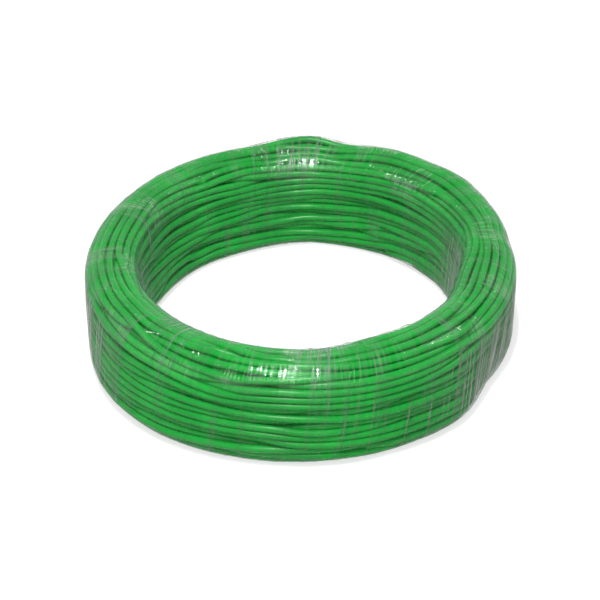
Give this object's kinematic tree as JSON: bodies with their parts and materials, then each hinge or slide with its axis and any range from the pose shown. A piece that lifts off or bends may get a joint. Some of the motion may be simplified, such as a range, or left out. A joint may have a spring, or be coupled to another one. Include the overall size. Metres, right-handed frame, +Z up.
{
  "type": "wire coil",
  "caption": "Ring-shaped coil of green insulated single-core copper wire, wound without a drum and wrapped in clear film.",
  "frame": {"origin": "centre of the coil's flat underside, on the surface that it lies on", "axes": "+Z up along the coil's axis; -Y towards the camera of the picture; +X to its right"},
  "size_m": [0.1928, 0.1928, 0.051],
  "materials": {
    "insulation": "smooth green PVC insulation, satin to glossy",
    "conductor": "bare copper, freshly cut",
    "film": "thin clear stretch film, glossy and wrinkled"
  },
  "bodies": {
    "root": {"inner_turns": "insulation", "outer_turns": "insulation", "conductor_start": "conductor", "conductor_end": "conductor", "film_wrap": "film"}
  },
  "joints": []
}
